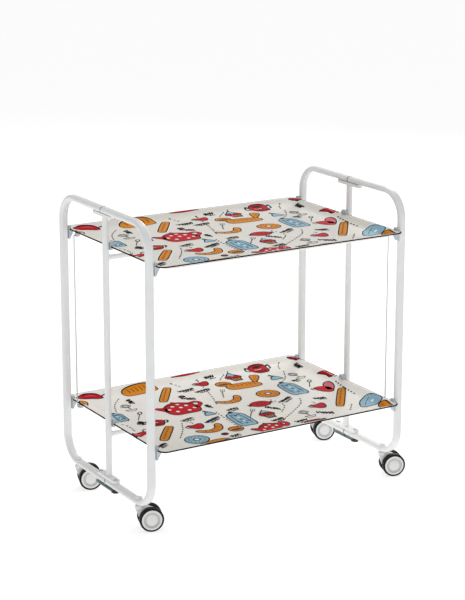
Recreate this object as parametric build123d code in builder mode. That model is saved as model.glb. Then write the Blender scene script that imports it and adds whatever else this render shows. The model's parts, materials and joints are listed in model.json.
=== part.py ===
from build123d import *

import os
from math import asin, cos, pi, radians, sin

# Folding two-tier serving trolley on four twin-wheel casters.
# Millimetres. +X runs along the trays, +Y points to the rear, +Z is up.
# The origin lies on the floor, midway between the four caster stems.

# Frame
half_length = 361.0        # X of the plane that each end frame lies in
upright_y = 224.0          # Y of the four uprights
top_rail_z = 763.0
bottom_rail_z = 72.0
tube_width = 22.0          # flat-oval tube, across the end frame
tube_depth = 15.0          # flat-oval tube, in the end frame's plane
tube_wall = 1.5
frame_bend = 65.0          # centre-line radius of the four corners
seam_half_gap = 1.7        # clear space each side of the seam over the post
plug_flange = 0.8
plug_depth = 9.0

# Centre posts, their bars and the hinge pins of the half frames
post_x = 358.0
post_radius = 8.0
post_wall = 1.5
bar_length = 98.0
bar_width = 20.0
bar_thickness = 7.0
bar_inset = 1.0            # bars sit this much inside the rails' middle
bar_gap = 0.3              # running gap between a bar and the rail on it
hinge_y = 40.0
hinge_radius = 3.0
hinge_head_radius = 5.5
hinge_head_height = 3.0
hinge_head_edge = 0.8      # straight rim of the domed head
hinge_reach = 6.5          # how far a hinge pin stands inside the rail
running_gap = 0.05         # radial clearance of every turning fit

# Crossbars between the posts
crossbar_radius = 6.0
crossbar_wall = 1.2
crossbar_drop = 28.0       # below the rim of the tray above it
collar_radius = 7.2
collar_length = 6.0
cope_stock = 4.8           # collar length inside the post, cut away by the cope

# Trays
tray_half_length = 348.0
tray_half_depth = 254.5
tray_rims = {"upper": 672.0, "lower": 222.0}
tray_thickness = 3.0
tray_corner = 18.0
tray_lip = 7.0             # width of the flat lip
tray_slope = 31.0          # width of the curved band inside the lip
tray_drop = 13.0           # depth of the base below the rim
tray_base_corner = 34.0
slope_steps = 5
pivot_rise = 5.0           # tilt axis above the rim
pivot_radius = 2.5
pivot_tip_x = 340.0        # inner end of a pivot pin
moving_face_x = 349.6      # outermost face of the bearings and gussets

# Bearings at the middle of the tray ends
bearing_inner_x = 338.0
bearing_width = 16.0
bearing_rise = 11.0
bearing_drop = 9.0
bearing_chamfer = 3.0
bearing_grip = 6.0         # reach under the lip
bearing_draft = 1.0
bearing_end_gap = 0.4      # room beyond the pin's inner end

# Gussets at the tray corners
gusset_width = 14.0
gusset_rise = 7.0
gusset_tab_x = 343.0
gusset_draft = 0.6
gusset_inner_x = 337.0
gusset_shoulder = 9.0
gusset_foot_x = 346.4
gusset_drop = 26.0

# Latch strips under the bottom rails
latch_pivot_y = 15.0
latch_y_min = -46.0
latch_y_max = 59.0
latch_width = 16.0
latch_thickness = 3.0
latch_top_z = 58.5
latch_bore = 2.0
latch_play = 0.15          # end play of the strip on its pivot
latch_spacer_radius = 4.0
latch_head_radius = 4.5
latch_head_height = 1.6
tip_back_y = -33.0
tip_front_y = -48.0
tip_wall = 1.0

# Casters
stem_y = 162.0
stem_radius = 4.0
wheel_radius = 30.0
caster_trail = 27.0
caster_yaw = -18.5         # direction from the stem to the axle, about +Z from +X
wheel_inner = 7.0          # wheel faces, measured along the axle from its middle
wheel_outer = 23.0
hub_radius = 25.0
hub_chamfer = 0.8
hub_end_gap = 0.3          # room beyond the axle's end
ring_radius = 20.0         # outer edge of the groove around the hub's dome
ring_depth = 2.6
ring_draft = 0.6
dome_radius = 14.0
dome_rise = 1.8
tread_chamfer = 1.6
tread_inset = 0.8          # tread edge behind the hub's face
axle_radius = 3.0
axle_half_length = 20.0
hood_half_width = 6.0
hood_radius = 25.5
hood_top_z = 62.3
hood_back = 9.0            # reach of the hood's top behind the stem
hood_front = 14.0          # reach of the hood's top ahead of the stem
hood_back_height = 10.0
socket_bottom_z = 56.5
socket_radius = 10.8
boss_step = 1.8
boss_gap = 0.3             # running gap between the boss and the rail
bore_overrun = 0.5
bolt_bottom_z = 46.0
head_radius = 7.5
head_lift = 1.0            # the head stands clear of the start of the frame's bend
head_edge = 3.5
head_height = 7.0

# Link rods that keep the two trays parallel
rod_x = 355.0
rod_y = 178.0
rod_radius = 1.5
rod_drop = 8.5             # rod pivots below the rim
rod_bend = 3.5
rod_tip_x = 343.5
lug_inner_x = 341.0
lug_outer_x = 350.6
lug_half_width = 5.0
lug_floor = 3.5            # material below the rod's pivot
lug_wall = 1.2             # material behind the rod's tip

ends = {"left": -1, "right": 1}
corners = {
    "front_left": (-1, -1),
    "rear_left": (-1, 1),
    "front_right": (1, -1),
    "rear_right": (1, 1),
}
rail_under = top_rail_z - tube_depth / 2
rail_over = bottom_rail_z + tube_depth / 2
bottom_rail_under = bottom_rail_z - tube_depth / 2
head_bar_z = rail_under - bar_gap - bar_thickness
foot_bar_z = rail_over + bar_gap
post_bottom_z = foot_bar_z + bar_thickness

os.makedirs("parts", exist_ok=True)


def cap_middle(radius, rise):
    """Point halfway along a spherical cap's arc, from its edge (radius, 0) to its top (0, rise)."""
    ball = (radius**2 + rise**2) / (2 * rise)
    half_turn = asin(radius / ball) / 2
    return ball * sin(half_turn), rise - ball * (1 - cos(half_turn))


# Half frames: each is one bent tube, open towards the centre post, with a
# plastic plug in both of its ends.
tube_end_y = seam_half_gap + plug_flange
for corner, (side, way) in corners.items():
    frame_x = side * half_length
    with BuildPart() as half_frame:
        with BuildLine():
            FilletPolyline(
                (frame_x, way * tube_end_y, top_rail_z),
                (frame_x, way * upright_y, top_rail_z),
                (frame_x, way * upright_y, bottom_rail_z),
                (frame_x, way * tube_end_y, bottom_rail_z),
                radius=frame_bend,
            )
        tube_end = Plane((frame_x, way * tube_end_y, top_rail_z), x_dir=(1, 0, 0), z_dir=(0, way, 0))
        with BuildSketch(tube_end):
            SlotOverall(tube_width, tube_depth)
            SlotOverall(tube_width - 2 * tube_wall, tube_depth - 2 * tube_wall, mode=Mode.SUBTRACT)
        sweep()
        # Hinge holes in the walls that face the post's bars
        for wall_z in (rail_under, rail_over):
            with BuildSketch(Plane.XY.offset(wall_z - 2 * tube_wall)):
                with Locations((frame_x, way * hinge_y)):
                    Circle(hinge_radius + running_gap)
            extrude(amount=4 * tube_wall, mode=Mode.SUBTRACT)
        # Caster bolt hole, through both walls of the bottom rail
        with BuildSketch(Plane.XY.offset(bottom_rail_z - tube_depth)):
            with Locations((frame_x, way * stem_y)):
                Circle(stem_radius)
        extrude(amount=2 * tube_depth, mode=Mode.SUBTRACT)
        if way > 0:
            with BuildSketch(Plane.XY.offset(bottom_rail_under - tube_wall)):
                with Locations((frame_x, latch_pivot_y)):
                    Circle(latch_bore)
            extrude(amount=3 * tube_wall, mode=Mode.SUBTRACT)
    half_frame.part.label = f"{corner}_half_frame"
    export_step(half_frame.part, f"parts/{corner}_half_frame.step")

    with BuildPart() as plugs:
        for rail_z in (top_rail_z, bottom_rail_z):
            seam = Plane((frame_x, way * seam_half_gap, rail_z), x_dir=(1, 0, 0), z_dir=(0, way, 0))
            with BuildSketch(seam):
                SlotOverall(tube_width, tube_depth)
            extrude(amount=plug_flange)
            with BuildSketch(seam.offset(plug_flange)):
                SlotOverall(tube_width - 2 * tube_wall, tube_depth - 2 * tube_wall)
            extrude(amount=plug_depth)
    plugs.part.label = f"{corner}_rail_plugs"
    export_step(plugs.part, f"parts/{corner}_rail_plugs.step")

# Centre posts with the holes for the tray pivots
for end, side in ends.items():
    with BuildPart() as post:
        with BuildSketch(Plane.XY.offset(post_bottom_z)):
            with Locations((side * post_x, 0)):
                Circle(post_radius)
                Circle(post_radius - post_wall, mode=Mode.SUBTRACT)
        extrude(amount=head_bar_z - post_bottom_z)
        for rim_z in tray_rims.values():
            with BuildSketch(Plane.YZ.offset(side * post_x)):
                with Locations((0, rim_z + pivot_rise)):
                    Circle(pivot_radius)
            extrude(amount=-side * 2 * post_radius, mode=Mode.SUBTRACT)
    post.part.label = f"{end}_post"
    export_step(post.part, f"parts/{end}_post.step")

# Head bars under the top rails and foot bars on the bottom rails
for bar_name, bar_z in (("head_bars", head_bar_z), ("foot_bars", foot_bar_z)):
    with BuildPart() as bars:
        for side in ends.values():
            with BuildSketch(Plane.XY.offset(bar_z)):
                with Locations((side * (half_length - bar_inset), 0)):
                    SlotOverall(bar_length, bar_width, rotation=90)
                with Locations((side * half_length, hinge_y), (side * half_length, -hinge_y)):
                    Circle(hinge_radius, mode=Mode.SUBTRACT)
            extrude(amount=bar_thickness)
    bars.part.label = bar_name
    export_step(bars.part, f"parts/{bar_name}.step")

# Hinge pins of the half frames: domed head against the bar, end inside the rail
cap_x, cap_z = cap_middle(hinge_head_radius, hinge_head_height - hinge_head_edge)
with BuildPart() as hinge_pins:
    for side, way in corners.values():
        pin_x = side * half_length
        for head_z, up in ((head_bar_z, 1), (post_bottom_z, -1)):
            tip = up * (bar_thickness + bar_gap + hinge_reach)
            with BuildSketch(Plane((pin_x, way * hinge_y, head_z), x_dir=(1, 0, 0), z_dir=(0, -1, 0))):
                with BuildLine():
                    Polyline(
                        (0, -up * hinge_head_height), (0, tip), (hinge_radius, tip), (hinge_radius, 0),
                        (hinge_head_radius, 0), (hinge_head_radius, -up * hinge_head_edge),
                    )
                    ThreePointArc(
                        (hinge_head_radius, -up * hinge_head_edge),
                        (cap_x, -up * (hinge_head_edge + cap_z)),
                        (0, -up * hinge_head_height),
                    )
                make_face()
            revolve(axis=Axis((pin_x, way * hinge_y, head_z), (0, 0, 1)))
hinge_pins.part.label = "frame_hinge_pins"
export_step(hinge_pins.part, "parts/frame_hinge_pins.step")

# Crossbars: a tube with a collar at both ends, coped to the posts
for level, rim_z in tray_rims.items():
    bar_axis_z = rim_z - crossbar_drop
    with BuildPart() as crossbar:
        with BuildSketch(Plane((-post_x, 0, bar_axis_z), x_dir=(0, 1, 0), z_dir=(1, 0, 0))):
            Circle(crossbar_radius)
        extrude(amount=2 * post_x)
        for side in ends.values():
            collar_x = side * (post_x - collar_length - cope_stock)
            with BuildSketch(Plane((collar_x, 0, bar_axis_z), x_dir=(0, 1, 0), z_dir=(side, 0, 0))):
                Circle(collar_radius)
            extrude(amount=collar_length + cope_stock)
        with BuildSketch(Plane((-post_x, 0, bar_axis_z), x_dir=(0, 1, 0), z_dir=(1, 0, 0))):
            Circle(crossbar_radius - crossbar_wall)
        extrude(amount=2 * post_x, mode=Mode.SUBTRACT)
        for side in ends.values():
            with BuildSketch(Plane.XY.offset(bar_axis_z - 2 * crossbar_radius)):
                with Locations((side * post_x, 0)):
                    Circle(post_radius)
            extrude(amount=4 * crossbar_radius, mode=Mode.SUBTRACT)
    crossbar.part.label = f"{level}_crossbar"
    export_step(crossbar.part, f"parts/{level}_crossbar.step")

# Tray pivot pins, pressed into the posts
with BuildPart() as pivot_pins:
    for side in ends.values():
        for rim_z in tray_rims.values():
            with BuildSketch(Plane.YZ.offset(side * pivot_tip_x)):
                with Locations((0, rim_z + pivot_rise)):
                    Circle(pivot_radius)
            extrude(amount=side * (post_x - post_radius + 2 * post_wall - pivot_tip_x))
pivot_pins.part.label = "tray_pivot_pins"
export_step(pivot_pins.part, "parts/tray_pivot_pins.step")


def slope_step(step):
    """Inset from the outline, depth and corner radius at one step down the curved band."""
    share = step / slope_steps
    inset = tray_lip + tray_slope * share
    depth = tray_drop * sin(pi / 2 * share)
    corner = tray_corner + (tray_base_corner - tray_corner) * share
    return inset, depth, corner


for level, rim_z in tray_rims.items():
    axis_z = rim_z + pivot_rise
    rod_z = rim_z - rod_drop

    # Moulded tray: flat lip, curved band, flat base, the same thickness all over
    with BuildPart() as tray:
        with BuildSketch(Plane.XY.offset(rim_z)):
            RectangleRounded(2 * tray_half_length, 2 * tray_half_depth, tray_corner)
        extrude(amount=-tray_thickness)
        for step in range(slope_steps + 1):
            inset, depth, corner = slope_step(step)
            with BuildSketch(Plane.XY.offset(rim_z - tray_thickness - depth)):
                RectangleRounded(2 * (tray_half_length - inset), 2 * (tray_half_depth - inset), corner)
        loft(ruled=True)
        for step in range(slope_steps + 1):
            inset, depth, corner = slope_step(step)
            with BuildSketch(Plane.XY.offset(rim_z - depth)):
                RectangleRounded(2 * (tray_half_length - inset), 2 * (tray_half_depth - inset), corner)
        loft(ruled=True, mode=Mode.SUBTRACT)
    tray.part.label = f"{level}_tray"
    export_step(tray.part, f"parts/{level}_tray.step")

    # Pivot bearings at the middle of both tray ends, slotted over the lip
    with BuildPart() as bearings:
        for side in ends.values():
            with BuildSketch(Plane.XZ.offset(-bearing_width / 2)):
                with BuildLine():
                    Polyline(
                        (side * moving_face_x, rim_z - bearing_drop),
                        (side * moving_face_x, rim_z + bearing_rise),
                        (side * (bearing_inner_x + bearing_chamfer), rim_z + bearing_rise),
                        (side * bearing_inner_x, rim_z + bearing_rise - bearing_chamfer),
                        (side * bearing_inner_x, rim_z),
                        (side * tray_half_length, rim_z),
                        (side * tray_half_length, rim_z - tray_thickness),
                        (side * (tray_half_length - bearing_grip), rim_z - tray_thickness),
                        (side * (tray_half_length - bearing_grip + bearing_draft), rim_z - bearing_drop),
                        close=True,
                    )
                make_face()
            extrude(amount=bearing_width)
            with BuildSketch(Plane.YZ.offset(side * moving_face_x)):
                with Locations((0, axis_z)):
                    Circle(pivot_radius + running_gap)
            extrude(amount=-side * (moving_face_x - pivot_tip_x + bearing_end_gap), mode=Mode.SUBTRACT)
    bearings.part.label = f"{level}_tray_bearings"
    export_step(bearings.part, f"parts/{level}_tray_bearings.step")

    # Corner gussets: a tapered wedge under the lip, a web over the edge, a tab on top
    with BuildPart() as gussets:
        for side, way in corners.values():
            with BuildSketch(Plane.XZ.offset(-way * upright_y - gusset_width / 2)):
                with BuildLine():
                    Polyline(
                        (side * moving_face_x, rim_z + gusset_rise),
                        (side * gusset_tab_x, rim_z + gusset_rise),
                        (side * (gusset_tab_x - gusset_draft), rim_z),
                        (side * gusset_inner_x, rim_z - tray_thickness),
                        (side * gusset_inner_x, rim_z - gusset_shoulder),
                        (side * gusset_foot_x, rim_z - gusset_drop),
                        (side * moving_face_x, rim_z - gusset_drop),
                        close=True,
                    )
                make_face()
            extrude(amount=gusset_width)
        with BuildSketch(Plane.XY.offset(rim_z - tray_thickness)):
            RectangleRounded(2 * tray_half_length, 2 * tray_half_depth, tray_corner)
        extrude(amount=tray_thickness, mode=Mode.SUBTRACT)
        for step in range(slope_steps + 1):
            inset, depth, corner = slope_step(step)
            with BuildSketch(Plane.XY.offset(rim_z - tray_thickness - depth)):
                RectangleRounded(2 * (tray_half_length - inset), 2 * (tray_half_depth - inset), corner)
        loft(ruled=True, mode=Mode.SUBTRACT)
    gussets.part.label = f"{level}_corner_gussets"
    export_step(gussets.part, f"parts/{level}_corner_gussets.step")

    # Lugs that the link rods hook into, under the lip at two opposite corners
    with BuildPart() as rod_lugs:
        for side in ends.values():
            lug_y = -side * rod_y
            with BuildSketch(Plane.XY.offset(rim_z - tray_thickness)):
                with Locations((side * (lug_inner_x + lug_outer_x) / 2, lug_y)):
                    Rectangle(lug_outer_x - lug_inner_x, 2 * lug_half_width)
            extrude(amount=-(rod_drop + lug_floor - tray_thickness))
            for step in range(slope_steps + 1):
                inset, depth, corner = slope_step(step)
                with BuildSketch(Plane.XY.offset(rim_z - tray_thickness - depth)):
                    RectangleRounded(2 * (tray_half_length - inset), 2 * (tray_half_depth - inset), corner)
            loft(ruled=True, mode=Mode.SUBTRACT)
            with BuildSketch(Plane.YZ.offset(side * lug_outer_x)):
                with Locations((lug_y, rod_z)):
                    Circle(rod_radius + running_gap)
            extrude(amount=-side * (lug_outer_x - lug_inner_x - lug_wall), mode=Mode.SUBTRACT)
    rod_lugs.part.label = f"{level}_rod_lugs"
    export_step(rod_lugs.part, f"parts/{level}_rod_lugs.step")

# Link rods: straight wire with both ends bent into the lugs
rod_top_z = tray_rims["upper"] - rod_drop
rod_bottom_z = tray_rims["lower"] - rod_drop
for end, side in ends.items():
    link_y = -side * rod_y
    with BuildPart() as link_rod:
        with BuildLine():
            FilletPolyline(
                (side * rod_tip_x, link_y, rod_top_z),
                (side * rod_x, link_y, rod_top_z),
                (side * rod_x, link_y, rod_bottom_z),
                (side * rod_tip_x, link_y, rod_bottom_z),
                radius=rod_bend,
            )
        with BuildSketch(Plane((side * rod_tip_x, link_y, rod_top_z), z_dir=(side, 0, 0))):
            Circle(rod_radius)
        sweep()
    link_rod.part.label = f"{end}_link_rod"
    export_step(link_rod.part, f"parts/{end}_link_rod.step")

# Latches: a steel strip that turns on a spacer pin under the bottom rail,
# with a plastic tip on its front end
latch_bottom_z = latch_top_z - latch_thickness
shoulder_z = latch_top_z + latch_play
head_top_z = latch_bottom_z - latch_play
for end, side in ends.items():
    latch_x = side * half_length
    with BuildPart() as strip:
        with BuildSketch(Plane.XY.offset(latch_bottom_z)):
            with Locations((latch_x, (latch_y_min + latch_y_max) / 2)):
                SlotOverall(latch_y_max - latch_y_min, latch_width, rotation=90)
            with Locations((latch_x, latch_pivot_y)):
                Circle(latch_bore + running_gap, mode=Mode.SUBTRACT)
        extrude(amount=latch_thickness)
    strip.part.label = f"{end}_latch_strip"
    export_step(strip.part, f"parts/{end}_latch_strip.step")

    with BuildPart() as latch_tip:
        with BuildSketch(Plane.XY.offset(latch_bottom_z - tip_wall)):
            with Locations((latch_x, tip_front_y + latch_width)):
                SlotOverall(2 * latch_width, latch_width + 2 * tip_wall, rotation=90)
            with Locations((latch_x, tip_back_y + latch_width)):
                Rectangle(2 * latch_width, 2 * latch_width, mode=Mode.SUBTRACT)
        extrude(amount=latch_thickness + 2 * tip_wall)
        with BuildSketch(Plane.XY.offset(latch_bottom_z)):
            with Locations((latch_x, (latch_y_min + latch_y_max) / 2)):
                SlotOverall(latch_y_max - latch_y_min, latch_width, rotation=90)
        extrude(amount=latch_thickness, mode=Mode.SUBTRACT)
    latch_tip.part.label = f"{end}_latch_tip"
    export_step(latch_tip.part, f"parts/{end}_latch_tip.step")

    with BuildPart() as latch_pivot:
        for low_z, high_z, radius in (
            (head_top_z - latch_head_height, head_top_z, latch_head_radius),
            (head_top_z, shoulder_z, latch_bore),
            (shoulder_z, bottom_rail_under, latch_spacer_radius),
            (bottom_rail_under, bottom_rail_under + tube_wall, latch_bore),
        ):
            with BuildSketch(Plane.XY.offset(low_z)):
                with Locations((latch_x, latch_pivot_y)):
                    Circle(radius)
            extrude(amount=high_z - low_z)
    latch_pivot.part.label = f"{end}_latch_pivot"
    export_step(latch_pivot.part, f"parts/{end}_latch_pivot.step")

# Casters: bolt, hood, axle and two wheels, each a hub with a tread
travel = Vector(cos(radians(caster_yaw)), sin(radians(caster_yaw)), 0)
axle_way = Vector(-sin(radians(caster_yaw)), cos(radians(caster_yaw)), 0)
boss_top_z = bottom_rail_under - boss_gap
head_cap_x, head_cap_z = cap_middle(head_radius, head_height - head_edge)
dome_x, dome_z = cap_middle(dome_radius, dome_rise)
bore_end = axle_half_length + hub_end_gap
tread_outer = wheel_outer - tread_inset
for corner, (side, way) in corners.items():
    stem = Vector(side * half_length, way * stem_y, 0)
    hub_centre = stem + travel * caster_trail + Vector(0, 0, wheel_radius)

    with BuildPart() as bolt:
        with BuildSketch(Plane(stem, x_dir=(1, 0, 0), z_dir=(0, -1, 0))):
            with BuildLine():
                Polyline(
                    (0, rail_over + head_height), (0, bolt_bottom_z), (stem_radius, bolt_bottom_z),
                    (stem_radius, rail_over + head_lift), (head_radius, rail_over + head_lift),
                    (head_radius, rail_over + head_edge),
                )
                ThreePointArc(
                    (head_radius, rail_over + head_edge),
                    (head_cap_x, rail_over + head_edge + head_cap_z),
                    (0, rail_over + head_height),
                )
            make_face()
        revolve(axis=Axis(stem, (0, 0, 1)))
    bolt.part.label = f"{corner}_caster_bolt"
    export_step(bolt.part, f"parts/{corner}_caster_bolt.step")

    with BuildPart() as hood:
        with BuildSketch(Plane(stem - axle_way * hood_half_width, x_dir=travel, z_dir=-axle_way)):
            with BuildLine():
                CenterArc((caster_trail, wheel_radius), hood_radius, 0, 360)
                Line((-hood_back, hood_top_z - hood_back_height), (-hood_back, hood_top_z))
                Line((-hood_back, hood_top_z), (hood_front, hood_top_z))
            make_hull()
        extrude(amount=-2 * hood_half_width)
        with BuildSketch(Plane.XY.offset(socket_bottom_z)):
            with Locations((stem.X, stem.Y)):
                Circle(socket_radius)
        extrude(amount=hood_top_z - socket_bottom_z)
        with BuildSketch(Plane.XY.offset(hood_top_z)):
            with Locations((stem.X, stem.Y)):
                Circle(socket_radius - boss_step)
        extrude(amount=boss_top_z - hood_top_z)
        with BuildSketch(Plane.XY.offset(bolt_bottom_z - bore_overrun)):
            with Locations((stem.X, stem.Y)):
                Circle(stem_radius + running_gap)
        extrude(amount=boss_top_z - bolt_bottom_z + 2 * bore_overrun, mode=Mode.SUBTRACT)
        with BuildSketch(Plane(hub_centre - axle_way * wheel_inner, z_dir=axle_way)):
            Circle(axle_radius)
        extrude(amount=2 * wheel_inner, mode=Mode.SUBTRACT)
    hood.part.label = f"{corner}_caster_hood"
    export_step(hood.part, f"parts/{corner}_caster_hood.step")

    with BuildPart() as axle:
        with BuildSketch(Plane(hub_centre - axle_way * axle_half_length, z_dir=axle_way)):
            Circle(axle_radius)
        extrude(amount=2 * axle_half_length)
    axle.part.label = f"{corner}_caster_axle"
    export_step(axle.part, f"parts/{corner}_caster_axle.step")

    for wheel_side, face_way in (("near", -1), ("far", 1)):
        outward = axle_way * face_way
        wheel_plane = Plane(hub_centre, x_dir=outward, z_dir=outward.cross(Vector(0, 0, 1)))
        with BuildPart() as hub:
            with BuildSketch(wheel_plane):
                with BuildLine():
                    Polyline(
                        (bore_end, 0), (bore_end, axle_radius + running_gap),
                        (wheel_inner, axle_radius + running_gap), (wheel_inner, hub_radius),
                        (wheel_outer - hub_chamfer, hub_radius), (wheel_outer, hub_radius - hub_chamfer),
                        (wheel_outer, ring_radius + ring_draft),
                        (wheel_outer - ring_depth, ring_radius - ring_draft),
                        (wheel_outer - ring_depth, dome_radius + ring_draft),
                        (wheel_outer - dome_rise, dome_radius),
                    )
                    ThreePointArc(
                        (wheel_outer - dome_rise, dome_radius),
                        (wheel_outer - dome_rise + dome_z, dome_x),
                        (wheel_outer, 0),
                    )
                    Line((wheel_outer, 0), (bore_end, 0))
                make_face()
            revolve(axis=Axis(hub_centre, outward))
        hub.part.label = f"{corner}_{wheel_side}_hub"
        export_step(hub.part, f"parts/{corner}_{wheel_side}_hub.step")

        with BuildPart() as tread:
            with BuildSketch(wheel_plane):
                with BuildLine():
                    Polyline(
                        (wheel_inner + tread_chamfer, wheel_radius),
                        (wheel_inner, wheel_radius - tread_chamfer),
                        (wheel_inner, hub_radius),
                        (tread_outer, hub_radius),
                        (tread_outer, wheel_radius - tread_chamfer),
                        (tread_outer - tread_chamfer, wheel_radius),
                        close=True,
                    )
                make_face()
            revolve(axis=Axis(hub_centre, outward))
        tread.part.label = f"{corner}_{wheel_side}_tread"
        export_step(tread.part, f"parts/{corner}_{wheel_side}_tread.step")
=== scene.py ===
import json
import math
import random

import bpy
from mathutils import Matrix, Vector
from mathutils.geometry import delaunay_2d_cdt


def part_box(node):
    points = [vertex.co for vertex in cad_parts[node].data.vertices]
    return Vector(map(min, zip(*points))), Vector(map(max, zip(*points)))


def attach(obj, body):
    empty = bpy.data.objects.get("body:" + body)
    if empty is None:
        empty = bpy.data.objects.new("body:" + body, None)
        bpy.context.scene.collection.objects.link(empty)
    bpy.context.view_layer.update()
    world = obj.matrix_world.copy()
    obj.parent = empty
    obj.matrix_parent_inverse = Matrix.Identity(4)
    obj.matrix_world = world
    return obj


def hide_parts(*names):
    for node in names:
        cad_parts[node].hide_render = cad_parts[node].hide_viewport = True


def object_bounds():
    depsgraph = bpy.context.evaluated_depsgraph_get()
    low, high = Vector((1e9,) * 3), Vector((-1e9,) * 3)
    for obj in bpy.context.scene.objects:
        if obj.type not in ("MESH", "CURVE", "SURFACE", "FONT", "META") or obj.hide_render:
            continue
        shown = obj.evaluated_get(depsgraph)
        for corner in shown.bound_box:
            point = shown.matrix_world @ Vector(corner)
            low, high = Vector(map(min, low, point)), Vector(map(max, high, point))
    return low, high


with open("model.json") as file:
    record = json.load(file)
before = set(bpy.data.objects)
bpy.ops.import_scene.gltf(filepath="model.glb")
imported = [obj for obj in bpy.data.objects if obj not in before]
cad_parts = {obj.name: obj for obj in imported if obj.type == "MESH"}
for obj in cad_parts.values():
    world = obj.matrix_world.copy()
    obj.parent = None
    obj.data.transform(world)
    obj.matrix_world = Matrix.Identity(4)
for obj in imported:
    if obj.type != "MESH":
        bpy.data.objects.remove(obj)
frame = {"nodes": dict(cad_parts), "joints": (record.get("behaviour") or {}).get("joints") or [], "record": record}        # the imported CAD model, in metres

cad_low, cad_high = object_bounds()
MM = 0.001

# ---------------------------------------------------------------- materials
# Colours are linear. Noise scales are per metre of object space.

COAT_ROUGHNESS = 0.12
MOTTLE_RANGE = (0.3, 0.7)              # noise values between which the mottling runs
ROUGH_SPREAD = 0.06                    # roughness varies this much either way
GRAIN_DETAIL = 2.0
GRAIN_HEIGHT = 0.0003                  # metres
BRUSH_SCALE = (1500, 25, 1500)         # fine across X and Z, long along Y
BRUSH_STRENGTH = 0.25
BRUSH_HEIGHT = 0.0002                  # metres
SPECK_SCALE = 700
SPECK_CUT = (0.66, 0.72)               # noise values between which a speck fades in
HUB_REACH = 0.030                      # distance from the axle, in metres, where the hub's ramp ends
HUB_GROOVE_SHADE = ((0.45, 1.0), (0.475, 0.74), (0.65, 0.70), (0.68, 1.0))   # share of the reach, grey; painted shade darkening the hub's groove
WHITE = (1, 1, 1, 1)


def object_noise(tree, scale, detail=3.0):
    """A noise texture in object space."""
    place = tree.nodes.new("ShaderNodeTexCoord")
    noise = tree.nodes.new("ShaderNodeTexNoise")
    noise.inputs["Scale"].default_value = scale
    noise.inputs["Detail"].default_value = detail
    tree.links.new(place.outputs["Object"], noise.inputs["Vector"])
    return noise


def surface(name, colour, rough, mottle, grain, metallic=0.0, coat=0.0, mottle_scale=30.0,
            grain_scale=900.0, specular=0.5):
    """A finished surface: mottled colour, uneven roughness and a fine bump."""
    made = bpy.data.materials.new(name)
    made.use_nodes = True
    tree = made.node_tree
    shader = tree.nodes["Principled BSDF"]
    shader.inputs["Metallic"].default_value = metallic
    shader.inputs["Specular IOR Level"].default_value = specular
    shader.inputs["Coat Weight"].default_value = coat
    shader.inputs["Coat Roughness"].default_value = COAT_ROUGHNESS
    cloud = object_noise(tree, mottle_scale)
    ramp = tree.nodes.new("ShaderNodeValToRGB")
    darker, lighter = ramp.color_ramp.elements
    darker.position, lighter.position = MOTTLE_RANGE
    darker.color = [c * (1 - mottle) for c in colour] + [1]
    lighter.color = [min(1, c * (1 + mottle)) for c in colour] + [1]
    tree.links.new(cloud.outputs["Fac"], ramp.inputs["Fac"])
    tree.links.new(ramp.outputs["Color"], shader.inputs["Base Color"])
    spread = tree.nodes.new("ShaderNodeMapRange")
    spread.inputs["To Min"].default_value = rough - ROUGH_SPREAD
    spread.inputs["To Max"].default_value = rough + ROUGH_SPREAD
    tree.links.new(cloud.outputs["Fac"], spread.inputs["Value"])
    tree.links.new(spread.outputs["Result"], shader.inputs["Roughness"])
    if grain:
        fine = object_noise(tree, grain_scale, GRAIN_DETAIL)
        bump = tree.nodes.new("ShaderNodeBump")
        bump.inputs["Strength"].default_value = grain
        bump.inputs["Distance"].default_value = GRAIN_HEIGHT
        tree.links.new(fine.outputs["Fac"], bump.inputs["Height"])
        tree.links.new(bump.outputs["Normal"], shader.inputs["Normal"])
    return made


def brushed(name, colour, rough):
    """Rolled steel strip: metal with fine lines drawn along Y."""
    made = surface(name, colour, rough, mottle=0.1, grain=0, metallic=0.9, mottle_scale=60)
    tree = made.node_tree
    place = tree.nodes.new("ShaderNodeTexCoord")
    squeeze = tree.nodes.new("ShaderNodeMapping")
    squeeze.inputs["Scale"].default_value = BRUSH_SCALE
    lines = tree.nodes.new("ShaderNodeTexNoise")
    lines.inputs["Scale"].default_value = 1.0
    bump = tree.nodes.new("ShaderNodeBump")
    bump.inputs["Strength"].default_value = BRUSH_STRENGTH
    bump.inputs["Distance"].default_value = BRUSH_HEIGHT
    tree.links.new(place.outputs["Object"], squeeze.inputs["Vector"])
    tree.links.new(squeeze.outputs["Vector"], lines.inputs["Vector"])
    tree.links.new(lines.outputs["Fac"], bump.inputs["Height"])
    tree.links.new(bump.outputs["Normal"], tree.nodes["Principled BSDF"].inputs["Normal"])
    return made


def speckled(name, colour, speck):
    """Printed paper under clear melamine: a pale ground with fine grey specks."""
    made = surface(
        name, colour, 0.34, mottle=0.015, grain=0.05,
        mottle_scale=9, grain_scale=260, specular=0.08,
    )
    tree = made.node_tree
    shader = tree.nodes["Principled BSDF"]
    ground = shader.inputs["Base Color"].links[0].from_socket
    dots = object_noise(tree, SPECK_SCALE, 1.0)
    cut = tree.nodes.new("ShaderNodeMapRange")
    cut.inputs["From Min"].default_value, cut.inputs["From Max"].default_value = SPECK_CUT
    mix = tree.nodes.new("ShaderNodeMix")
    mix.data_type = "RGBA"
    mix.inputs["B"].default_value = (*speck, 1)
    tree.links.new(dots.outputs["Fac"], cut.inputs["Value"])
    tree.links.new(cut.outputs["Result"], mix.inputs["Factor"])
    tree.links.new(ground, mix.inputs["A"])
    tree.links.new(mix.outputs["Result"], shader.inputs["Base Color"])
    return made


def body_of(node):
    """The CAD body that a node belongs to."""
    bodies = frame["record"]["behaviour"]["bodies"]
    return next(body for body, members in bodies.items() if node in members)


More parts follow.
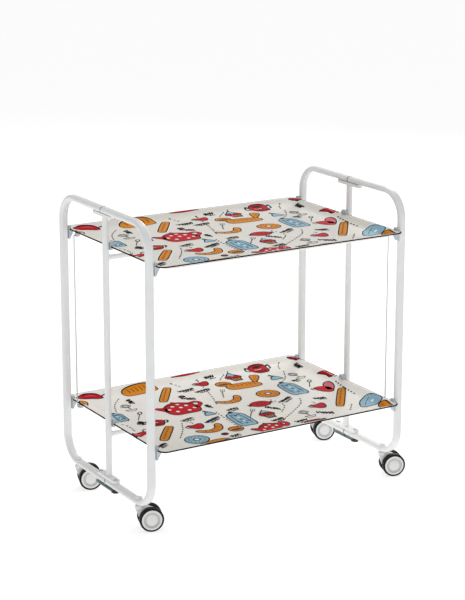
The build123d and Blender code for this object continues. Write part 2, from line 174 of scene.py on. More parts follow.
def hub_material(node):
    """Wheel hub plastic, with painted shade darkening the turned groove between the rim and the dome.
    """
    made = surface(f"{node}_plastic", (0.8, 0.8, 0.79), 0.33, mottle=0.02, grain=0.04, coat=0.1)
    tree = made.node_tree
    shader = tree.nodes["Principled BSDF"]
    base = shader.inputs["Base Color"].links[0].from_socket
    low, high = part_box(node)
    centre = (low + high) / 2
    axle = next(j for j in frame["joints"] if j["child"] == body_of(node))["axis"]
    place = tree.nodes.new("ShaderNodeTexCoord")
    shift = tree.nodes.new("ShaderNodeVectorMath")
    shift.operation = "SUBTRACT"
    shift.inputs[1].default_value = centre
    cross = tree.nodes.new("ShaderNodeVectorMath")
    cross.operation = "CROSS_PRODUCT"
    cross.inputs[1].default_value = Vector(axle).normalized()
    length = tree.nodes.new("ShaderNodeVectorMath")
    length.operation = "LENGTH"
    scale = tree.nodes.new("ShaderNodeMapRange")
    scale.inputs["From Max"].default_value = HUB_REACH
    ramp = tree.nodes.new("ShaderNodeValToRGB")
    shades = ramp.color_ramp.elements
    for end in (0, 1):
        shades[end].position, shades[end].color = end, WHITE
    # painted shade: a grey ring across the groove, multiplied into the hub's colour
    for position, grey in HUB_GROOVE_SHADE:
        shades.new(position).color = (grey, grey, grey, 1)
    mix = tree.nodes.new("ShaderNodeMix")
    mix.data_type = "RGBA"
    mix.blend_type = "MULTIPLY"
    mix.inputs["Factor"].default_value = 1.0
    tree.links.new(place.outputs["Object"], shift.inputs[0])
    tree.links.new(shift.outputs["Vector"], cross.inputs[0])
    tree.links.new(cross.outputs["Vector"], length.inputs[0])
    tree.links.new(length.outputs["Value"], scale.inputs["Value"])
    tree.links.new(scale.outputs["Result"], ramp.inputs["Fac"])
    tree.links.new(base, mix.inputs["A"])
    tree.links.new(ramp.outputs["Color"], mix.inputs["B"])
    tree.links.new(mix.outputs["Result"], shader.inputs["Base Color"])
    return made


enamel = surface(
    "white_enamel", (0.85, 0.86, 0.86), 0.36, mottle=0.02, grain=0.16, coat=0.1, grain_scale=1100,
)
nylon = surface(
    "blue_grey_nylon", (0.50, 0.56, 0.60), 0.45, mottle=0.05, grain=0.1, grain_scale=1400,
)
hood_plastic = surface("white_plastic", (0.78, 0.79, 0.78), 0.38, mottle=0.02, grain=0.08)
black_plastic = surface("black_plastic", (0.012, 0.012, 0.014), 0.5, mottle=0.2, grain=0.2)
rubber = surface(
    "black_rubber", (0.006, 0.006, 0.007), 0.55, mottle=0.3, grain=0.35,
    mottle_scale=120, grain_scale=1600, specular=0.2,
)
steel = surface("pin_steel", (0.5, 0.51, 0.52), 0.3, mottle=0.08, grain=0.05, metallic=1.0)
strip_steel = brushed("strip_steel", (0.21, 0.26, 0.26), 0.4)
edge_black = surface(
    "laminate_edge", (0.005, 0.005, 0.006), 0.6, mottle=0.2, grain=0.1, specular=0.05,
)
underside = surface(
    "tray_underside", (0.82, 0.80, 0.76), 0.42, mottle=0.03, grain=0.12, grain_scale=400,
)
# One printed ground in a lit and a shaded copy: the lower tray's ground and specks are painted lighter
# (painted light), the upper's darker (painted shade)
grounds = {
    "upper": speckled("upper_print_ground_painted_shade", (0.80, 0.775, 0.715), (0.45, 0.42, 0.38)),
    "lower": speckled("lower_print_ground_painted_light", (0.93, 0.905, 0.85), (0.52, 0.50, 0.46)),
}
INKS = {
    "halo": (0.90, 0.90, 0.875),
    "red": (0.56, 0.002, 0.012),
    "dark_red": (0.11, 0.004, 0.010),
    "pink": (0.62, 0.13, 0.16),
    "orange": (0.72, 0.25, 0.012),
    "brown": (0.16, 0.045, 0.010),
    "cream": (0.86, 0.62, 0.30),
    "blue": (0.30, 0.50, 0.62),
    "deep_blue": (0.03, 0.08, 0.13),
    "grey": (0.14, 0.14, 0.15),
    "black": (0.004, 0.004, 0.004),
}
inks = {
    name: surface(
        f"ink_{name}", colour, 0.34, mottle=0.07, grain=0.04,
        mottle_scale=55, grain_scale=260, specular=0.03,
    )
    for name, colour in INKS.items()
}


def dress(nodes, material):
    """Gives CAD nodes a material in place of their packed one."""
    for node in nodes:
        slots = frame["nodes"][node].data.materials
        slots.clear()
        slots.append(material)


every_node = sorted(frame["nodes"])
FINISHES = (
    (("half_frame", "post", "crossbar", "bars", "caster_bolt"), enamel),
    (("latch_pivot", "bearings", "gussets", "lugs", "rail_plugs"), nylon),
    (("hinge_pins", "caster_axle", "pivot_pins", "link_rod"), steel),
    (("latch_tip",), black_plastic),
    (("latch_strip",), strip_steel),
    (("caster_hood",), hood_plastic),
    (("tread",), rubber),
)
for endings, material in FINISHES:
    dress([node for node in every_node if node.endswith(endings)], material)
for node in every_node:
    if node.endswith("_hub"):
        dress([node], hub_material(node))

# ---------------------------------------------------------------- trays
# Sizes in millimetres. An inset is measured inwards from the edge of the tray.

tray_low, tray_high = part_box("upper_tray")
HALF_LENGTH = tray_high.x / MM
HALF_DEPTH = tray_high.y / MM
RIM_Z = {level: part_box(f"{level}_tray")[1].z for level in ("upper", "lower")}
THICKNESS = 3.0
LIP = 7.0                  # width of the flat lip
SLOPE = 31.0               # width of the curved band from the lip to the base
DROP = (tray_high.z - tray_low.z) / MM - THICKNESS
LIP_CORNER = 18.0          # corner radius at the lip
BASE_CORNER = 34.0         # corner radius at the base
LIP_SOFTNESS = 0.05        # rounds the turn from the lip to the band
EDGE_ROUND = 0.7           # radius of the tray's outer edges
BORDER = 2.2               # width of the black border on the lip
BAND_ROWS = 18             # rows of points down the band
EDGE_ROWS = 4              # rows of points round each outer edge
CORNER_STEPS = 12
HALVINGS = 14              # steps of the search for an inset, down to 0.003 mm
PRINTED, EDGE, PLAIN = range(3)        # the tray's material slots


def band_share(inset):
    """How far down the curved band an inset lies, from 0 at the lip to 1 at the base."""
    u = (inset - LIP) / SLOPE
    if u >= 1:
        return 1.0
    soft = (u + math.sqrt(u * u + LIP_SOFTNESS**2)) / 2
    return min(1.0, soft)


def band_depth(inset):
    """Depth of the tray's top surface below its rim, at one inset."""
    return DROP * math.sin(math.pi / 2 * band_share(inset))


def corner_radius(inset):
    """Radius of the rounded rectangle at one inset."""
    u = min(1.0, max(0.0, (inset - LIP) / SLOPE))
    return LIP_CORNER + (BASE_CORNER - LIP_CORNER) * u


def edge_distance(x, y, inset):
    """Signed distance of a point from the rounded rectangle at one inset, negative inside."""
    radius = corner_radius(inset)
    qx = abs(x) - (HALF_LENGTH - inset) + radius
    qy = abs(y) - (HALF_DEPTH - inset) + radius
    outside = math.hypot(max(qx, 0), max(qy, 0))
    return outside + min(max(qx, qy), 0) - radius


def depth_at(x, y):
    """Depth of the tray's top surface below its rim, at one point."""
    low, high = 0.0, LIP + SLOPE
    if edge_distance(x, y, high) <= 0:
        return DROP
    for _ in range(HALVINGS):
        middle = (low + high) / 2
        if edge_distance(x, y, middle) <= 0:
            low = middle
        else:
            high = middle
    return band_depth(low)


def ring(inset, z):
    """A rounded rectangle of points at one inset and height."""
    radius = corner_radius(inset)
    points = []
    for quarter, (sx, sy) in enumerate(((1, 1), (-1, 1), (-1, -1), (1, -1))):
        cx = sx * (HALF_LENGTH - inset - radius)
        cy = sy * (HALF_DEPTH - inset - radius)
        for step in range(CORNER_STEPS + 1):
            turn = math.pi / 2 * (quarter + step / CORNER_STEPS)
            points.append((cx + radius * math.cos(turn), cy + radius * math.sin(turn), z))
    return points


def mesh_object(name, vertices, faces, materials, indices, smooth=True):
    """A mesh object from millimetre coordinates."""
    mesh = bpy.data.meshes.new(name)
    mesh.from_pydata([[c * MM for c in v] for v in vertices], [], faces)
    for material in materials:
        mesh.materials.append(material)
    mesh.polygons.foreach_set("material_index", indices)
    mesh.polygons.foreach_set("use_smooth", [smooth] * len(faces))
    mesh.update()
    made = bpy.data.objects.new(name, mesh)
    bpy.context.scene.collection.objects.link(made)
    return made


def make_tray(level):
    """One moulded tray: printed top, black edge and plain underside, with rounded lips."""
    rim = RIM_Z[level] / MM
    band = [LIP + SLOPE * row / BAND_ROWS for row in range(BAND_ROWS, -1, -1)] + [LIP - 2, BORDER]
    path = [(inset, -band_depth(inset), PRINTED) for inset in band]
    turns = [math.pi / 2 * row / EDGE_ROWS for row in range(EDGE_ROWS + 1)]
    for turn in turns:
        drop = EDGE_ROUND * (1 - math.cos(turn))
        path.append((EDGE_ROUND * (1 - math.sin(turn)), -drop, EDGE))
    for turn in turns:
        drop = THICKNESS - EDGE_ROUND + EDGE_ROUND * math.sin(turn)
        path.append((EDGE_ROUND * (1 - math.cos(turn)), -drop, EDGE))
    path += [(inset, -THICKNESS - band_depth(inset), PLAIN) for inset in reversed(band)]
    vertices, faces, indices = [], [], []
    for inset, z, _ in path:
        vertices += ring(inset, rim + z)
    count = len(ring(0, 0))
    for row in range(len(path) - 1):
        for k in range(count):
            a, b = row * count + k, row * count + (k + 1) % count
            faces.append((a, a + count, b + count, b))
            indices.append(path[row + 1][2])
    faces.append(tuple(range(count)))
    indices.append(PRINTED)
    last = (len(path) - 1) * count
    faces.append(tuple(range(last + count - 1, last - 1, -1)))
    indices.append(PLAIN)
    materials = [grounds[level], edge_black, underside]
    tray = mesh_object(f"{level}_tray_shell", vertices, faces, materials, indices)
    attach(tray, f"{level}_tray")
    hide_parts(f"{level}_tray")


# ---------------------------------------------------------------- print
# A generic kitchen pattern. Places are millimetres from the tray's middle,
# +y towards the rear, and every shape lies on the tray's top surface.

LIFT = 0.22                # first ink layer above the surface
LAYER = 0.10               # each ink layer above the one below it
CELL = 4.0                 # longest piece of an outline on the curved band
EDGE_KEEP = 2.0            # ink stops this far from the tray's edge
BAND_MARGIN = 2.0          # a point this close to the curved band counts as on it
OUTLINE = 3.3              # how far the dark outline reaches past a shape
HALO = 6.0                 # how far the pale halo under it reaches
TRAIL_GAP = 13.0           # between the dashes of a trail
HALO_LAYER, OUTLINE_LAYER, COLOUR_LAYER, DETAIL_LAYER, TOP_LAYER = range(5)


def hold_inside(x, y):
    """Moves a point that would pass the tray's edge back onto the lip."""
    x = max(-HALF_LENGTH + EDGE_KEEP, min(HALF_LENGTH - EDGE_KEEP, x))
    y = max(-HALF_DEPTH + EDGE_KEEP, min(HALF_DEPTH - EDGE_KEEP, y))
    return x, y


def on_band(x, y):
    """Whether a point lies outside the flat base of the tray."""
    return edge_distance(x, y, LIP + SLOPE) > -BAND_MARGIN


def curve_piece(four, steps):
    """Points of a Catmull-Rom curve from the second of four points to the third."""
    piece = []
    for step in range(steps):
        t = step / steps
        piece.append(tuple(
            0.5 * (2 * b + (c - a) * t
                   + (2 * a - 5 * b + 4 * c - d) * t * t
                   + (3 * b - a - 3 * c + d) * t**3)
            for a, b, c, d in zip(*four)
        ))
    return piece


def smooth_loop(points, steps=7):
    """A closed smooth curve through a few points."""
    n = len(points)
    curve = []
    for i in range(n):
        curve += curve_piece([points[(i + k - 1) % n] for k in range(4)], steps)
    return curve


def smooth_line(points, steps=6):
    """An open smooth curve through a few points."""
    ends = [points[0], *points, points[-1]]
    curve = []
    for i in range(len(points) - 1):
        curve += curve_piece(ends[i:i + 4], steps)
    return curve + [points[-1]]


def oval(x, y, rx, ry, turn=0.0, count=28):
    """An ellipse, turned by some degrees."""
    c, s = math.cos(math.radians(turn)), math.sin(math.radians(turn))
    points = []
    for k in range(count):
        u = rx * math.cos(2 * math.pi * k / count)
        v = ry * math.sin(2 * math.pi * k / count)
        points.append((x + u * c - v * s, y + u * s + v * c))
    return points


def grow(points, distance):
    """An outline moved outwards by a distance."""
    n = len(points)
    following = points[1:] + points[:1]
    area = sum(ax * by - bx * ay for (ax, ay), (bx, by) in zip(points, following))
    way = 1 if area > 0 else -1
    moved = []
    for i in range(n):
        ax, ay = points[i - 1]
        bx, by = points[(i + 1) % n]
        length = math.hypot(bx - ax, by - ay) or 1
        x, y = points[i]
        moved.append((
            x + way * (by - ay) / length * distance,
            y - way * (bx - ax) / length * distance,
        ))
    return moved


class Print:
    """Collects ink shapes for one tray and makes them into one mesh."""

    def __init__(self, level):
        self.level = level
        self.vertices, self.faces, self.indices = [], [], []
        self.names = list(INKS)
        self.place(0, 0)

    def place(self, x, y, turn=0.0, size=1.0):
        """Sets where the next motif goes; its own shapes are drawn about (0, 0)."""
        self.origin = (x, y)
        self.cos = math.cos(math.radians(turn)) * size
        self.sin = math.sin(math.radians(turn)) * size

    def to_tray(self, points):
        """Turns a motif's own points into places on the tray."""
        ox, oy = self.origin
        return [
            (ox + x * self.cos - y * self.sin, oy + x * self.sin + y * self.cos)
            for x, y in points
        ]

    def add(self, points, faces, ink, layer):
        """Lays flat faces on the tray's surface, at one ink layer."""
        rim = RIM_Z[self.level] / MM
        lift = LIFT + LAYER * layer
        first = len(self.vertices)
        self.vertices += [(x, y, rim - depth_at(x, y) + lift) for x, y in points]
        for face in faces:
            self.faces.append(tuple(first + k for k in face))
            self.indices.append(self.names.index(ink))

    def fill(self, outline, ink, layer):
        """A filled outline in tray coordinates, with inner points where the tray curves."""
        edge = []
        for (ax, ay), (bx, by) in zip(outline, outline[1:] + outline[:1]):
            parts = max(1, math.ceil(math.hypot(bx - ax, by - ay) / CELL))
            for k in range(parts):
                edge.append(hold_inside(ax + (bx - ax) * k / parts, ay + (by - ay) * k / parts))
        xs, ys = [p[0] for p in edge], [p[1] for p in edge]
        inner = []
        if any(on_band(x, y) for x, y in edge):
            x = min(xs) + CELL / 2
            while x < max(xs):
                y = min(ys) + CELL / 2
                while y < max(ys):
                    if on_band(x, y):
                        inner.append((x, y))
                    y += CELL
                x += CELL
        points = [Vector(p) for p in edge + inner]
        loop = [list(range(len(edge)))]
        made, _, faces, *_ = delaunay_2d_cdt(points, [], loop, 1, 1e-4)
        self.add([tuple(p) for p in made], faces, ink, layer)

    def shape(self, outline, ink, edge=OUTLINE, halo=HALO):
        """A motif shape: a pale halo, a dark outline and its colour."""
        placed = self.to_tray(outline)
        if halo:
            self.fill(grow(placed, halo), "halo", HALO_LAYER)
        if edge:
            self.fill(grow(placed, edge), "black", OUTLINE_LAYER)
        self.fill(placed, ink, COLOUR_LAYER)

    def mark(self, outline, ink, layer=DETAIL_LAYER):
        """A detail on top of a shape, with no outline."""
        self.fill(self.to_tray(outline), ink, layer)

    def stroke(self, points, width, ink="black", layer=DETAIL_LAYER, taper=False):
        """A brush line along a smooth curve through a few points."""
        curve = self.to_tray(smooth_line(points))
        left, right = [], []
        last = len(curve) - 1
        for i, (x, y) in enumerate(curve):
            ax, ay = curve[max(i - 1, 0)]
            bx, by = curve[min(i + 1, last)]
            length = math.hypot(bx - ax, by - ay) or 1
            swell = math.sin(math.pi * (0.1 + 0.8 * i / last)) if taper else 1
            half = width / 2 * swell
            nx, ny = -(by - ay) / length * half, (bx - ax) / length * half
            left.append(hold_inside(x + nx, y + ny))
            right.append(hold_inside(x - nx, y - ny))
        faces = [(i, i + last + 1, i + last + 2, i + 1) for i in range(last)]
        self.add(left + right, faces, ink, layer)

    def finish(self):
        """Makes the printed layer as one piece that rides on its tray."""
        made = mesh_object(
            f"{self.level}_tray_print", self.vertices, self.faces,
            [inks[name] for name in self.names], self.indices, smooth=False,
        )
        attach(made, f"{self.level}_tray")


# Each motif is drawn about (0, 0), then moved to (x, y), turned and scaled.


def teapot(ink, x, y, turn=0.0, size=1.0):
    """A round spotted pot with its spout to the left."""
    ink.place(x, y, turn, size)
    handle = [(34, 22), (56, 28), (64, 14), (54, -2), (36, -12)]
    ink.stroke(handle, 20, "halo", HALO_LAYER)
    ink.stroke(handle, 13, "black", OUTLINE_LAYER)
    ink.stroke(handle, 9.5, "red", COLOUR_LAYER)
    ink.shape([(-40, -14), (-54, 8), (-64, 26), (-60, 30), (-50, 26), (-34, 16)], "red")
    ink.shape(smooth_loop([(-36, -40), (-46, -8), (-36, 22), (-16, 40), (0, 44), (18, 40), (38, 22),
                           (46, -8), (34, -40), (0, -43)]), "red")
    dots = ((-32, 2), (-14, 20), (6, 30), (22, 12), (2, 4), (-20, -20), (12, -24), (32, -14))
    for dot_x, dot_y in dots:
        ink.mark(oval(dot_x, dot_y, 4.6, 5.4, 20), "halo")
    ink.stroke([(-32, 26), (0, 35), (32, 24)], 2.6)
    ink.stroke([(-4, 44), (0, 52), (6, 46)], 4.0)


def small_pot(ink, x, y, turn=0.0, size=1.0):
    """A squat pot with two curled dark handles."""
    ink.place(x, y, turn, size)
    for way in (-1, 1):
        handle = [(way * 22, 8), (way * 36, 16), (way * 38, 4), (way * 30, -6)]
        ink.stroke(handle, 5.0, "black", OUTLINE_LAYER)
    ink.shape(smooth_loop([(-24, 16), (0, 22), (24, 16), (24, -6), (14, -24), (-12, -26),
                           (-24, -8)]), "red")
    ink.mark(smooth_loop([(-18, -8), (2, -10), (20, -8), (12, -20), (-10, -22)]), "dark_red")
    ink.mark(oval(0, 13, 15, 4.5), "black")
    ink.stroke([(-14, 2), (-4, 0), (8, 2)], 2.4, "halo", TOP_LAYER)


def cup(ink, x, y, turn=0.0, size=1.0):
    """A small cup with a handle and rising steam."""
    ink.place(x, y, turn, size)
    ink.stroke([(-16, 6), (-26, 8), (-24, -4), (-14, -6)], 2.6)
    ink.shape(smooth_loop([(-18, 12), (-4, 9), (17, 14), (14, -6), (2, -18), (-12, -10)]), "red")
    ink.stroke([(0, 18), (3, 26), (-1, 34)], 2.2, taper=True)


def stick(ink, ax, ay, bx, by, width=19.0):
    """A seeded bread stick between two points."""
    length = math.hypot(bx - ax, by - ay)
    turn = math.degrees(math.atan2(by - ay, bx - ax))
    ink.place((ax + bx) / 2, (ay + by) / 2, turn)
    half, w = length / 2, width / 2
    ink.shape(smooth_loop([(-half, 0), (-half + 6, w * 0.9), (0, w * 1.05), (half - 6, w * 0.85),
                           (half, 0), (half - 6, -w * 0.85), (0, -w), (-half + 6, -w * 0.9)]),
              "orange")
    along = -half + 14
    while along < half - 8:
        ink.mark(oval(along, 1.5, 4.2, 2.2, 35), "brown")
        along += 13


def croissant(ink, x, y, turn=0.0, size=1.0):
    """A curved roll with cut segments."""
    ink.place(x, y, turn, size)
    ink.shape(smooth_loop([(-40, 8), (-24, -12), (0, -20), (22, -12), (38, 12), (36, 24), (26, 20),
                           (14, 4), (-4, -2), (-22, 4), (-34, 14)]), "orange")
    for cut in ((-26, -9, -20, 3), (-8, -18, -6, -3), (10, -16, 8, 0), (26, -2, 20, 10)):
        ink.stroke([cut[:2], cut[2:]], 2.2, "brown")


def ring_cake(ink, x, y, radius, colour="orange", middle="brown"):
    """A round with a hole, seen from above."""
    ink.place(x, y)
    ink.shape(oval(0, 0, radius, radius * 0.92), colour)
    crumbs = 14
    for k in range(crumbs):
        turn = 2 * math.pi * k / crumbs
        crumb_x, crumb_y = radius * 0.74 * math.cos(turn), radius * 0.68 * math.sin(turn)
        ink.mark(oval(crumb_x, crumb_y, 2.6, 1.5, math.degrees(turn)), middle)
    ink.mark(oval(0, 0, radius * 0.34, radius * 0.3), "black")
    ink.mark(oval(0, 0, radius * 0.22, radius * 0.19), "halo", TOP_LAYER)


def bottle(ink, x, y, turn=0.0, size=1.0):
    """A square-shouldered blue bottle with a dark stopper."""
    ink.place(x, y, turn, size)
    ink.shape([(-5, 44), (-4, 58), (4, 58), (6, 44)], "black", edge=1.0)
    ink.shape(smooth_loop([(-23, -50), (-24, 0), (-20, 32), (-6, 44), (8, 43), (22, 30), (24, 0),
                           (22, -50), (0, -54)], 5), "blue")
    for way in (-1, 1):
        ink.stroke([(way * 14, -42), (way * 15, 0), (way * 11, 30)], 2.8, "deep_blue")
    for k in range(5):
        colour = "halo" if k % 2 else "deep_blue"
        ink.mark(oval(0, -38 + 15 * k, 4.6, 3.0, 25), colour, TOP_LAYER)
    ink.stroke([(-20, -22), (0, -26), (20, -22)], 2.4)
    ink.stroke([(-15, 31), (0, 27), (15, 31)], 2.6)


def flask(ink, x, y, size=1.0):
    """A small flask with a black neck."""
    ink.place(x, y, 0, size)
    ink.shape(smooth_loop([(-4, 4), (-15, -16), (-12, -21), (12, -21), (15, -16), (5, 4)], 5),
              "blue")
    ink.stroke([(0, 2), (-1, 12), (-4, 22)], 5.0)
    ink.stroke([(-10, 14), (6, 8)], 2.2)


def cupcake(ink, x, y, turn=0.0, size=1.0):
    """A small cake: pale icing, a red band and a brown cup."""
    ink.place(x, y, turn, size)
    ink.shape([(-12, -34), (-18, -8), (18, -6), (11, -34)], "brown")
    ink.shape(smooth_loop([(-22, -8), (-18, 8), (0, 14), (18, 8), (22, -6), (0, -12)]), "red")
    ink.shape(smooth_loop([(-12, 6), (-6, 22), (4, 30), (12, 18), (14, 6)]), "blue")
    for way in (-7, 0, 7):
        ink.stroke([(way, -30), (way * 1.4, -12)], 1.6, "cream", TOP_LAYER)
    ink.stroke([(2, 30), (6, 40)], 2.6)


def pepper(ink, x, y, turn=0.0, size=1.0):
    """A long curved pepper with a dark stalk."""
    ink.place(x, y, turn, size)
    ink.shape(smooth_loop([(-36, -8), (-18, 6), (4, 10), (24, 8), (34, -2), (26, -8), (6, -4),
                           (-16, -6)]), "red")
    ink.stroke([(-14, 2), (4, 5), (20, 3)], 2.4, "pink", taper=True)
    ink.stroke([(30, 2), (42, 9), (50, 4), (44, -4)], 3.4)


def sweet(ink, x, y, turn=0.0, size=1.0):
    """A wrapped sweet."""
    ink.place(x, y, turn, size)
    for way in (-1, 1):
        wing = [(way * 24, 0), (way * 38, 7), (way * 35, 0), (way * 37, -7)]
        ink.shape(wing, "dark_red", edge=0.8)
    ink.shape(oval(0, 0, 27, 19), "red")
    for way in (-10, 2, 13):
        ink.stroke([(way - 4, -12), (way, 0), (way + 5, 12)], 1.8, "dark_red")


def loaf(ink, x, y, turn=0.0, size=1.0):
    """A loaf with dark cuts across its crust."""
    ink.place(x, y, turn, size)
    ink.shape(smooth_loop([(-50, -8), (-44, 14), (-10, 22), (30, 20), (50, 6), (46, -16), (0, -24),
                           (-40, -22)]), "orange")
    for k in range(6):
        cut = [(-32 + 13 * k, 16), (-28 + 13 * k, 6), (-30 + 13 * k, -4)]
        ink.stroke(cut, 2.8, "brown", taper=True)


def carrot(ink, x, y, turn=0.0, size=1.0):
    """A carrot with a short dark top."""
    ink.place(x, y, turn, size)
    ink.shape(smooth_loop([(-30, 0), (-10, 8), (18, 12), (28, 6), (28, -6), (16, -11), (-10, -7)]),
              "orange")
    for k in range(4):
        ink.stroke([(-12 + 10 * k, -6), (-9 + 10 * k, 3)], 1.6, "brown")


def bun(ink, x, y, radius=20.0):
    """A round bun with a curved cut across its top."""
    ink.place(x, y)
    ink.shape(oval(0, 0, radius, radius * 0.86), "orange")
    ink.mark(oval(0, -radius * 0.2, radius * 0.84, radius * 0.34), "brown")
    cut = [(-radius * 0.6, radius * 0.4), (0, radius * 0.6), (radius * 0.6, radius * 0.4)]
    ink.stroke(cut, 1.6, "brown")


def bowl(ink, x, y, turn=0.0, size=1.0):
    """A red bowl with a pink lid leaning on it."""
    ink.place(x, y, turn, size)
    ink.shape(smooth_loop([(2, -16), (14, 20), (34, 40), (42, 34), (38, 8), (20, -18)]), "pink")
    ink.shape(smooth_loop([(-26, 6), (-10, 14), (10, 8), (20, -8), (12, -30), (-4, -36),
                           (-20, -20)]), "red")
    ink.stroke([(-24, 6), (-36, 10), (-34, -4)], 2.6)


def dome(ink, x, y, turn=0.0, size=1.0):
    """A blue glass cover with a knob."""
    ink.place(x, y, turn, size)
    ink.shape(smooth_loop([(-34, -26), (-22, 2), (0, 24), (20, 32), (30, 10), (28, -22), (0, -28)]),
              "blue")
    ink.stroke([(-20, -18), (0, 6), (16, 18)], 1.8, "deep_blue")
    ink.mark(oval(12, -4, 6, 4, 40), "halo", TOP_LAYER)


def fork(ink, x, y, turn=0.0, size=1.0):
    """A thin fork."""
    ink.place(x, y, turn, size)
    ink.stroke([(-38, 0), (8, 1)], 3.0, "grey")
    for prong in (-5, 0, 5):
        ink.stroke([(8, prong * 0.4), (16, prong), (30, prong)], 1.7, "black")


def spoon(ink, x, y, turn=0.0, size=1.0):
    """A thin spoon."""
    ink.place(x, y, turn, size)
    ink.stroke([(-32, 0), (12, 0)], 2.4, "black")
    ink.shape(oval(20, 0, 11, 5.5), "grey", edge=1.2, halo=0)
    ink.mark(oval(20, 0, 7, 2.6), "halo")


def whisk(ink, x, y, turn=0.0, size=1.0):
    """A whisk drawn in loose loops over a small bowl."""
    ink.place(x, y, turn, size)
    for spread in (4, 9, 14):
        ink.stroke([(0, -2), (-spread, 12), (0, 26), (spread, 12), (0, -2)], 1.8, "grey")
    ink.stroke([(0, -4), (2, -14)], 3.0)
    ink.stroke([(-16, -18), (-8, -28), (8, -28), (16, -18)], 2.6, "grey")
    ink.stroke([(-16, -18), (16, -18)], 2.0)


def seed(ink, x, y, size=1.0):
    """A small dark fruit stone."""
    ink.place(x, y, 20, size)
    ink.shape(oval(0, 0, 9, 8), "dark_red", edge=1.4, halo=2)


def squiggle(ink, draw, x, y, length, turn, height, width):
    """A loose wavy line with uneven waves; draw gives the random numbers."""
    ink.place(x, y, turn)
    along, points, up = -length / 2, [], 1
    while along < length / 2:
        points.append((along, up * height * draw.uniform(0.25, 0.5)))
        along += draw.uniform(2.6, 5.2)
        up = -up
    ink.stroke(points, width)


def doodle(ink, draw, x, y, length, turn):
    """Two rows of wavy line."""
    squiggle(ink, draw, x, y, length, turn, 14, 3.8)
    squiggle(ink, draw, x + 3, y - 11, length * 0.7, turn, 7, 2.6)


def trail(ink, points):
    """A dashed line along a smooth curve."""
    ink.place(0, 0)
    curve = smooth_line(points, 24)
    travelled = 0.0
    for (ax, ay), (bx, by) in zip(curve, curve[1:]):
        travelled += math.hypot(bx - ax, by - ay)
        if travelled >= TRAIL_GAP:
            travelled = 0.0
            turn = math.degrees(math.atan2(by - ay, bx - ax))
            ink.mark(oval(bx, by, 4.2, 1.9, turn, 10), "black")


def draw_print(level):
    """The whole pattern of one tray; both trays have the same one."""
    draw = random.Random(7)
    ink = Print(level)
    # Rear row, from the left
    pepper(ink, -293, 232, -12)
    loaf(ink, -152, 222, 4, 0.98)
    cup(ink, 20, 188)
    cupcake(ink, 121, 196, 0, 0.95)
    small_pot(ink, 217, 216, 0, 1.0)
    pepper(ink, 337, 226, -70, 0.5)
    ink.place(0, 247)
    ink.shape(smooth_loop([(-42, 0), (0, 3.4), (48, 1), (0, -2.6)]), "red", edge=0.9, halo=0)
    # Second row
    stick(ink, -343, 166, -318, 214, 17)
    stick(ink, -142, 110, -76, 206)
    bun(ink, 66, 156, 20)
    loaf(ink, 108, 120, -6, 0.95)
    carrot(ink, 165, 156, 62, 1.0)
    flask(ink, 216, 140)
    # Middle row
    bottle(ink, -298, 62, -4, 0.62)
    teapot(ink, -128, 42)
    croissant(ink, 14, 30, 8)
    ring_cake(ink, 126, 27, 30)
    bottle(ink, 204, 36, -2)
    bowl(ink, 278, -8, 0, 0.95)
    pepper(ink, 338, 66, -84, 0.8)
    small_pot(ink, -238, -24, -14, 0.85)
    flask(ink, -88, -24, 0.85)
    sweet(ink, 64, -34)
    # Front rows
    pepper(ink, -322, -92, 38, 1.1)
    stick(ink, -284, -148, -222, -66)
    cup(ink, -164, -100, 0, 1.05)
    croissant(ink, -142, -138, 10)
    bottle(ink, -41, -104, -3)
    cupcake(ink, 35, -110, 0, 0.85)
    cup(ink, 186, -124, 0, 1.05)
    stick(ink, 230, -154, 316, -38, 18)
    dome(ink, 310, -164)
    ring_cake(ink, -212, -184, 29, "blue", "deep_blue")
    bun(ink, -90, -166, 18)
    seed(ink, -133, -184)
    seed(ink, -80, 122)
    teapot(ink, -8, -208, 4, 0.8)
    loaf(ink, -182, -230, 6, 0.9)
    small_pot(ink, 112, -226, 0, 0.8)
    loaf(ink, 322, -222, 74, 0.5)
    # Tools
    fork(ink, 27, 92, 62)
    spoon(ink, 268, 44, 58)
    spoon(ink, -248, 44, 58)
    fork(ink, 8, -82, 52)
    whisk(ink, -242, 116)
    whisk(ink, 274, 120, 8)
    whisk(ink, 122, -160)
    # Doodles
    for x, y, length, turn in (
        (66, 226, 32, 4), (-206, 62, 32, 74), (252, 86, 26, 14), (-20, -32, 34, 10), (84, -198, 40, 6),
        (-116, -206, 28, 8), (-60, 22, 26, 82),
        (-42, 164, 52, 8), (-8, 138, 48, 10), (-72, 100, 40, -28), (-158, -42, 40, 12),
        (-105, -76, 56, 26), (140, -36, 52, 30), (36, -160, 38, 14), (222, -74, 34, -18),
        (170, -176, 46, -34), (-272, -4, 26, 60), (-306, -176, 38, 30), (-214, 158, 34, 82),
        (322, 186, 34, 84), (74, -78, 44, -52),
    ):
        doodle(ink, draw, x, y, length, turn)
    for points in (
        [(-222, 200), (-262, 150), (-284, 100)],
        [(28, 236), (20, 208), (-10, 90), (-34, 20)],
        [(272, 180), (240, 120), (212, 92)],
        [(-60, 238), (-46, 214), (-40, 190)],
        [(118, 232), (92, 208), (74, 186)],
        [(300, 240), (282, 220), (268, 190)],
        [(-180, -52), (-206, -104), (-246, -160)],
        [(-64, -20), (-70, -60), (-76, -150)],
        [(180, -40), (150, -90), (60, -160), (40, -176)],
        [(270, -150), (246, -180), (228, -200)],
        [(100, -8), (112, -70), (80, -112)],
        [(330, 20), (322, -40), (318, -100)],
        [(-330, 30), (-310, -10), (-312, -50)],
    ):
        trail(ink, points)
    ink.finish()


for level in ("upper", "lower"):
    make_tray(level)
    draw_print(level)

# ---------------------------------------------------------------- studio
# Places in metres, power in watts, angles in radians.

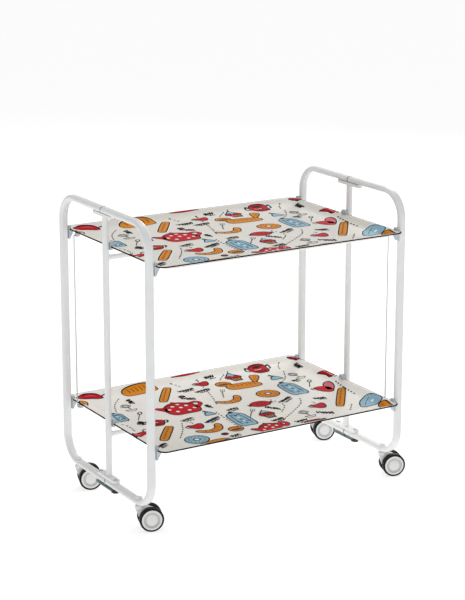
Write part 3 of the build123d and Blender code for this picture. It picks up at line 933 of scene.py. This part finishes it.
FLOOR_HALF = 40.0
FLOOR_GREY = (0.5, 0.5, 0.5)
FLOOR_GLOW = 0.72
WORLD_STRENGTH = 0.50
middle = (cad_low + cad_high) / 2
LIGHTS = (                 # name, place, target, size, power
    ("key_light", (3.1, 2.4, 2.6), middle, 1.4, 72),
    ("top_light", (0.5, 0.7, 3.4), middle, 2.0, 22),
    ("front_light", (-2.2, -4.0, 0.7), (0, 0, 0.3), 1.6, 14),
)
CAMERA_PLACE = (-2.280, -3.751, 1.680)
CAMERA_YAW, CAMERA_PITCH = 0.5463, 0.2251
CAMERA_LENS = 107.4        # millimetres
CAMERA_SHIFT_Y = -0.12


def make_floor():
    """A plain pale floor under the casters."""
    corners = [(x * FLOOR_HALF, y * FLOOR_HALF, 0) for x, y in ((-1, -1), (1, -1), (1, 1), (-1, 1))]
    mesh = bpy.data.meshes.new("studio_floor")
    mesh.from_pydata(corners, [], [(0, 1, 2, 3)])
    white = surface("floor_white", FLOOR_GREY, 0.9, mottle=0.003, grain=0, specular=0.0)
    shader = white.node_tree.nodes["Principled BSDF"]
    shader.inputs["Emission Color"].default_value = WHITE
    shader.inputs["Emission Strength"].default_value = FLOOR_GLOW
    mesh.materials.append(white)
    made = bpy.data.objects.new("studio_floor", mesh)
    bpy.context.scene.collection.objects.link(made)


def area_light(name, place, target, size, power):
    """A square soft light aimed at a point."""
    data = bpy.data.lights.new(name, "AREA")
    data.shape = "SQUARE"
    data.size = size
    data.energy = power
    made = bpy.data.objects.new(name, data)
    made.location = place
    made.rotation_euler = (Vector(target) - Vector(place)).to_track_quat("-Z", "Y").to_euler()
    bpy.context.scene.collection.objects.link(made)


def make_studio():
    """The floor, three soft lights and an even white world."""
    make_floor()
    for light in LIGHTS:
        area_light(*light)
    world = bpy.data.worlds.new("studio_world")
    world.use_nodes = True
    background = world.node_tree.nodes["Background"]
    background.inputs["Color"].default_value = WHITE
    background.inputs["Strength"].default_value = WORLD_STRENGTH
    bpy.context.scene.world = world
    bpy.context.scene.view_settings.view_transform = "Standard"


def make_camera():
    """A long lens, a little above the upper tray, from the front left."""
    data = bpy.data.cameras.new("camera")
    data.lens = CAMERA_LENS
    data.shift_y = CAMERA_SHIFT_Y
    made = bpy.data.objects.new("camera", data)
    made.location = CAMERA_PLACE
    flat = math.cos(CAMERA_PITCH)
    ahead = Vector((
        math.sin(CAMERA_YAW) * flat, math.cos(CAMERA_YAW) * flat, -math.sin(CAMERA_PITCH),
    ))
    made.rotation_euler = ahead.to_track_quat("-Z", "Y").to_euler()
    bpy.context.scene.collection.objects.link(made)
    bpy.context.scene.camera = made


make_studio()
make_camera()
